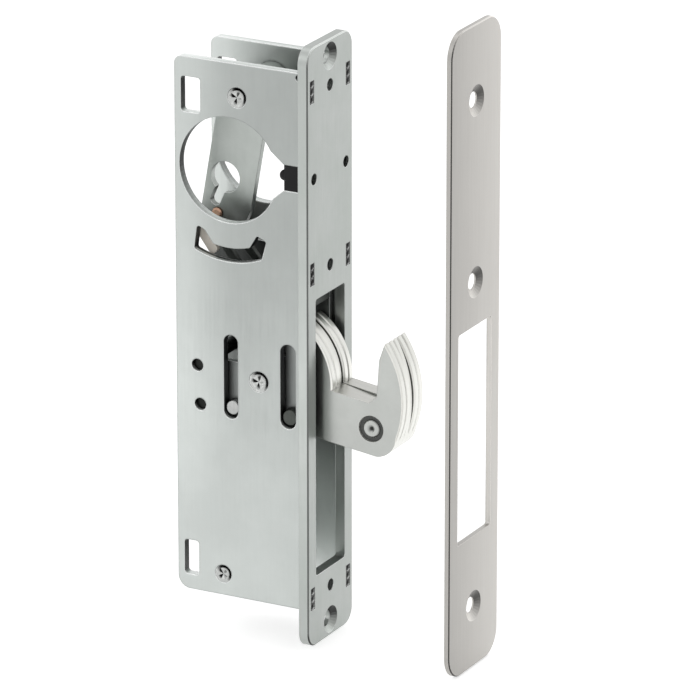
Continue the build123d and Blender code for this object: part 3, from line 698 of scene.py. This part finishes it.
def black_finish():
    """Black oxide, a little uneven and oily."""
    look = finishes()
    coat = Coat("black_oxide", look.black, times(look.black, 2.2), patch_scale=400.0, amount=0.6,
                stretch=(1.0, 1.0, 1.0), line_scale=1800.0, rough=(0.34, 0.5), edge=details().edge_round,
                metallic=0.0)
    coat.shader["Specular IOR Level"].default_value = 0.2
    return coat.done(0.15)


def foot_finish():
    """Pale moulded plastic with a slight wear."""
    look = finishes()
    coat = Coat("pale_plastic", look.foot, times(look.foot, 0.8), patch_scale=500.0, amount=0.5,
                stretch=(1.0, 1.0, 1.0), line_scale=900.0, rough=(0.4, 0.55), edge=details().edge_round,
                metallic=0.0)
    return coat.done(0.1)


def dress(material, *names):
    """Give CAD nodes a finish."""
    for name in names:
        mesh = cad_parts[name].data
        mesh.materials.clear()
        mesh.materials.append(material)


# Operators, one for each group of pieces

class LOCK_OT_case(bpy.types.Operator):
    """Plate the case: its front plate and side plates"""

    bl_idname = "lock.case"
    bl_label = "Case"

    def execute(self, context):
        look = finishes()
        edge = details().edge_round
        middle, size = centre_and_size("near_side_plate")
        low = middle - size / 2
        face = abs(middle[1])
        # Painted shade on the inner faces, behind the bolt slot and behind the curved window
        behind_bolt = dict(face=face, height=-12 * MM, near=10 * MM, far=35 * MM, dark=0.35, bright=1.2)
        behind_window = dict(face=face, height=20 * MM, near=5 * MM, far=9 * MM, dark=0.12, bright=1.0)
        # Side plates: painted shade towards the upper front corner and inside the case, a wide painted
        # highlight on the upper edges, painted light and shade on cut walls, painted shade in the stake pits
        side = plated("zinc_side", look.side_zinc, times(look.side_zinc, 1.15), look.zinc_edge_highlight,
                      patch_scale=42.0, rough=(0.34, 0.44), edge=edge * 2.6, floor=0.15,
                      corner_shade=dict(least=look.corner_shade, low=low, middle=middle),
                      inside=(behind_bolt, behind_window),
                      slopes=lit_slopes(Y_AXIS, light=(-0.6, 0, 0.8), dark=0.08, bright=1.9),
                      depth=pit_shade(X_AXIS, 0.1 * MM, 0.4 * MM, 0.8 * MM, floor=0.06))
        # Front plate: painted light and shade on its cones and cut walls, and a painted highlight on its
        # upper edges
        front = plated("zinc_front", look.zinc, look.zinc_light, look.zinc_edge_highlight, patch_scale=55.0,
                       rough=(0.32, 0.42), edge=edge * 1.2, floor=0.15,
                       slopes=lit_slopes(X_AXIS, light=(0, 0.6, 1.1), dark=0.08, bright=2.2, least_lean=0.2))
        dress(side, "near_side_plate", "far_side_plate")
        dress(front, "front_plate")
        return {"FINISHED"}


class LOCK_OT_rivets(bpy.types.Operator):
    """Peen the three rivets of the case, with a collar and a star on each end"""

    bl_idname = "lock.rivets"
    bl_label = "Rivets"

    def execute(self, context):
        look = finishes()
        size = details()
        plate = centre_and_size("near_side_plate")
        outer = abs(plate[0][1]) + plate[1][1] / 2
        shoulder = abs(plate[0][1]) - plate[1][1] / 2
        # Painted shade in the dents of the star, and a painted highlight on the upper edges
        dents = pit_shade(Y_AXIS, outer - 0.05 * MM, outer - 0.45 * MM, outer - 1.2 * MM, floor=0.06)
        steel = plated("zinc_rivet", look.rivet, times(look.rivet, 1.15), times(look.rivet, 1.5),
                       patch_scale=300.0, rough=(0.2, 0.3), edge=size.edge_round / 2, floor=0.1, depth=dents)
        ends = (("top_post", size.top_rivet, 0.3), ("bottom_post", size.bottom_rivet, 0.75),
                ("hook_pivot_pin", size.pivot_rivet, 0.1))
        for name, end, lean in ends:
            centre, box = centre_and_size(name)
            points = rivet_points(centre, box[0] / 2, end, shoulder, outer, lean)
            made = piece(name + "_peened", points, steel, "case")
            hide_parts(name)
        return {"FINISHED"}


class LOCK_OT_threads(bpy.types.Operator):
    """Cut threads into the front plate's three holes for the cover plate"""

    bl_idname = "lock.threads"
    bl_label = "Threads"

    def execute(self, context):
        look = finishes()
        size = details()
        # Painted shade: the threads are made far darker than the zinc, standing in for the shade in the
        # holes
        steel = plated("zinc_thread", times(look.zinc, 0.14), times(look.zinc, 0.2), times(look.zinc, 0.6),
                       patch_scale=300.0, rough=(0.25, 0.35), edge=size.edge_round / 4, floor=0.15)
        depth = centre_and_size("front_plate")[1][0]
        for count, height in enumerate(size.thread_heights, 1):
            points = thread_points((0, 0, height), depth, size.thread_radius)
            piece("cover_thread_" + str(count), points, steel, "case", capped=False)
        return {"FINISHED"}


class LOCK_OT_inner_works(bpy.types.Operator):
    """Finish the slide, the lever and their pins"""

    bl_idname = "lock.inner_works"
    bl_label = "Inner works"

    def execute(self, context):
        look = finishes()
        edge = details().edge_round
        far_out = 1.0
        # Painted shade: the lever darkens within 17 mm of a height of 20 mm, darkest within 9 mm
        shaded_lever_end = dict(face=far_out, height=20 * MM, near=9 * MM, far=17 * MM, dark=0.25, bright=1.0)
        # Inner steel made dark as painted shade inside the case; these finishes also paint a highlight on
        # their upper edges
        inner = plated("inner_steel", look.inner, times(look.inner, 1.2), look.zinc_edge_highlight, patch_scale=120.0,
                       rough=(0.34, 0.46), edge=edge)
        lever = plated("lever_steel", times(look.zinc, 0.92), times(look.zinc, 1.1), look.zinc_edge_highlight,
                       patch_scale=90.0, rough=(0.32, 0.42), edge=edge, inside=(shaded_lever_end,))
        copper = plated("copper_head", look.copper, times(look.copper, 1.3), times(look.copper, 1.6),
                        patch_scale=400.0, rough=(0.3, 0.4), edge=edge / 2)
        pin = plated("bright_pin", times(look.rivet, 0.7), times(look.rivet, 0.85), look.zinc_edge_highlight,
                     patch_scale=300.0, rough=(0.2, 0.3), edge=edge)
        # Partly painted shade: dark studs, as for the recessed guide studs
        dark = plated("dark_stud", look.stud, times(look.stud, 1.4), times(look.stud, 2.0),
                      patch_scale=300.0, rough=(0.34, 0.46), edge=edge)
        # Painted shade: the stop pins are near black, standing in for the shade seen in the rear holes
        blackened = plated("blackened_pin", times(look.stud, 0.3), times(look.stud, 0.5), look.stud,
                           patch_scale=300.0, rough=(0.34, 0.46), edge=edge)
        dress(inner, "near_slide_plate", "far_slide_plate", "near_hook_washer", "far_hook_washer")
        dress(lever, "cam_lever", "lever_pin", "near_lever_spacer", "far_lever_spacer")
        dress(copper, "lever_rivet")
        dress(pin, "drive_pin")
        dress(dark, "near_guide_stud", "far_guide_stud", "cam_plate", "slide_crossbar")
        dress(blackened, "high_stop_pin", "low_stop_pin")
        dress(foot_finish(), "near_lever_foot", "far_lever_foot")
        return {"FINISHED"}


class LOCK_OT_spring(bpy.types.Operator):
    """Wind the return spring as a fixed coil; the real spring shortens as the slide lifts"""

    bl_idname = "lock.spring"
    bl_label = "Return spring"

    def execute(self, context):
        look = finishes()
        size = details()
        low, high = (np.array(corner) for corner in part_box("return_spring"))
        centre = (low + high) / 2
        wire = size.spring_wire
        radius = (high[1] - low[1]) / 2 - wire
        points = coil(centre, radius, wire, low[2] + wire, high[2] - wire, size.spring_turns)
        # Painted shade: darker than the inner steel, inside the case; a painted highlight on its upper edges
        steel = plated("spring_steel", times(look.inner, 0.7), look.inner, look.rivet, patch_scale=300.0,
                       rough=(0.25, 0.35), edge=size.edge_round / 2)
        made = piece("return_spring_coil", points, steel, "case")
        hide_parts("return_spring")
        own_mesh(made)
        return {"FINISHED"}


class LOCK_OT_clamp(bpy.types.Operator):
    """Black clamp block and its two threaded screws"""

    bl_idname = "lock.clamp"
    bl_label = "Clamp"

    def execute(self, context):
        size = details()
        black = black_finish()
        dress(black, "clamp_block")
        for side in ("near", "far"):
            name = side + "_clamp_screw"
            centre, box = centre_and_size(name)
            tip = centre - np.array((box[0] / 2, 0, 0))
            points = screw_points(tip, box[0], box[2] / 2, size.socket_radius, size.socket_depth)
            made = piece(name + "_threaded", points, black, side + "_screw")
            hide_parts(name)
        return {"FINISHED"}


class LOCK_OT_hook(bpy.types.Operator):
    """Bright hook plies and the rivet that holds them"""

    bl_idname = "lock.hook"
    bl_label = "Hook"

    def execute(self, context):
        look = finishes()
        dress(hook_finish(), "hook_ply_1", "hook_ply_2", "hook_ply_3", "hook_ply_4", "hook_ply_5")
        outer = centre_and_size("hook_rivet")[1][1] / 2
        dimple = pit_shade(Y_AXIS, outer - 0.1 * MM, outer - 0.4 * MM, outer - 1.5 * MM, floor=0.1)
        steel = plated("hook_rivet_steel", look.hook_face, times(look.hook_face, 1.15), look.hook_rim_polish_and_highlight,
                       patch_scale=200.0, rough=(0.24, 0.34), edge=details().edge_round, floor=0.1,
                       depth=dimple)
        dress(steel, "hook_rivet")
        return {"FINISHED"}


class LOCK_OT_cover(bpy.types.Operator):
    """Satin cover plate"""

    bl_idname = "lock.cover"
    bl_label = "Cover plate"

    def execute(self, context):
        dress(satin_finish(), "cover_plate")
        return {"FINISHED"}


class LOCK_OT_studio(bpy.types.Operator):
    """Floor, soft lamps, pale world and the camera"""

    bl_idname = "lock.studio"
    bl_label = "Studio"

    def execute(self, context):
        set_floor()
        set_world()
        set_lamps()
        set_camera()
        context.scene.view_settings.view_transform = "Standard"
        return {"FINISHED"}


def seen_directly(tree):
    """A value that is 1 for rays from the camera, from a reflection or through glass."""
    path = node(tree, "ShaderNodeLightPath").outputs
    first = number(tree, "MAXIMUM", path["Is Camera Ray"], path["Is Glossy Ray"])
    return number(tree, "MAXIMUM", first, path["Is Transmission Ray"])


def set_floor():
    """A wide pale floor just under the lowest end of the object."""
    low = CAD_BOX[0][2] - 0.2 * MM
    reach = 6.0
    pale, rough = 0.9, 0.9
    corners = [(-reach, -reach, low), (reach, -reach, low), (reach, reach, low), (-reach, reach, low)]
    mesh = bpy.data.meshes.new("floor")
    mesh.from_pydata(corners, [], [(0, 1, 2, 3)])
    floor = bpy.data.objects.new("floor", mesh)
    bpy.context.scene.collection.objects.link(floor)
    material, tree, shader = new_material("pale_floor")
    shader["Base Color"].default_value = (pale, pale, pale, 1)
    shader["Roughness"].default_value = rough
    shader["Emission Color"].default_value = (1, 1, 1, 1)
    feed(tree, shader["Emission Strength"],
         number(tree, "MULTIPLY", seen_directly(tree), studio().floor_glow))
    mesh.materials.append(material)


def set_world():
    """White where it is seen, and a softer light on the object."""
    world = bpy.data.worlds.new("studio_world")
    world.use_nodes = True
    tree = world.node_tree
    background = tree.nodes["Background"].inputs
    background["Color"].default_value = (1, 1, 1, 1)
    feed(tree, background["Strength"], ramp(tree, seen_directly(tree), 0.0, 1.0, studio().sky))
    bpy.context.scene.world = world


def lamp(name, place, target, width, height, watts):
    """A soft rectangular lamp that faces a point."""
    light = bpy.data.lights.new(name, "AREA")
    light.shape = "RECTANGLE"
    light.size, light.size_y = width, height
    light.energy = watts
    made = bpy.data.objects.new(name, light)
    made.location = place
    made.rotation_euler = (Vector(target) - Vector(place)).to_track_quat("-Z", "Y").to_euler()
    bpy.context.scene.collection.objects.link(made)


def set_lamps():
    """A key lamp, one for the front edges, one above, and a small one at the lower end of the case."""
    setting = studio()
    middle = (0, 0, 0)
    low_end = (-0.02, -0.011, -0.07)
    lamp("key_lamp", (-0.9, -1.1, 1.0), middle, width=0.9, height=0.9, watts=setting.key_power)
    lamp("edge_lamp", (1.3, -0.5, 0.7), middle, width=0.7, height=0.9, watts=setting.edge_power)
    lamp("top_lamp", (-0.2, 0.3, 1.4), middle, width=0.8, height=0.8, watts=setting.top_power)
    lamp("low_lamp", (-0.07, -0.13, -0.055), low_end, width=0.12, height=0.04, watts=setting.low_power)


def set_camera():
    """The camera at the photograph's angle: on a sphere round the front plate, then a step to the side."""
    setting = studio()
    turn, rise = setting.azimuth, setting.elevation
    back = Vector((sin(turn) * cos(rise), -cos(turn) * cos(rise), sin(rise)))
    right = Vector((cos(turn), sin(turn), 0))
    up = back.cross(right)
    data = bpy.data.cameras.new("camera")
    data.sensor_width = 36.0
    data.lens = setting.lens
    data.clip_start, data.clip_end = 0.05, 50.0
    camera = bpy.data.objects.new("camera", data)
    rotation = Matrix((right, up, back)).transposed().to_4x4()
    place = back * setting.distance + right * setting.step_right + up * setting.step_up
    camera.matrix_world = Matrix.Translation(place) @ rotation
    bpy.context.scene.collection.objects.link(camera)
    bpy.context.scene.camera = camera


class LOCK_PT_panel(bpy.types.Panel):
    """The lock's settings and steps"""

    bl_idname = "LOCK_PT_panel"
    bl_label = "Hook lock"
    bl_space_type = "VIEW_3D"
    bl_region_type = "UI"
    bl_category = "Lock"

    def draw(self, context):
        layout = self.layout
        for group in (studio(), finishes(), details()):
            column = layout.column(align=True)
            for key in group.__annotations__:
                column.prop(group, key)
        for step in STEPS:
            layout.operator(step.bl_idname)


GROUPS = (StudioSettings, FinishSettings, DetailSettings)
STEPS = (LOCK_OT_studio, LOCK_OT_case, LOCK_OT_rivets, LOCK_OT_threads, LOCK_OT_inner_works, LOCK_OT_spring,
         LOCK_OT_clamp, LOCK_OT_hook, LOCK_OT_cover)


def register():
    """Add the settings, the steps and the panel."""
    for item in (*GROUPS, *STEPS, LOCK_PT_panel):
        bpy.utils.register_class(item)
    bpy.types.Scene.lock_studio = PointerProperty(type=StudioSettings)
    bpy.types.Scene.lock_finishes = PointerProperty(type=FinishSettings)
    bpy.types.Scene.lock_details = PointerProperty(type=DetailSettings)


def unregister():
    """Take them away again."""
    del bpy.types.Scene.lock_details
    del bpy.types.Scene.lock_finishes
    del bpy.types.Scene.lock_studio
    for item in reversed((*GROUPS, *STEPS, LOCK_PT_panel)):
        bpy.utils.unregister_class(item)


def main():
    """Run every step in order."""
    register()
    for step in STEPS:
        group, name = step.bl_idname.split(".")
        getattr(getattr(bpy.ops, group), name)()
    bpy.context.view_layer.update()


if __name__ == "__main__":
    main()
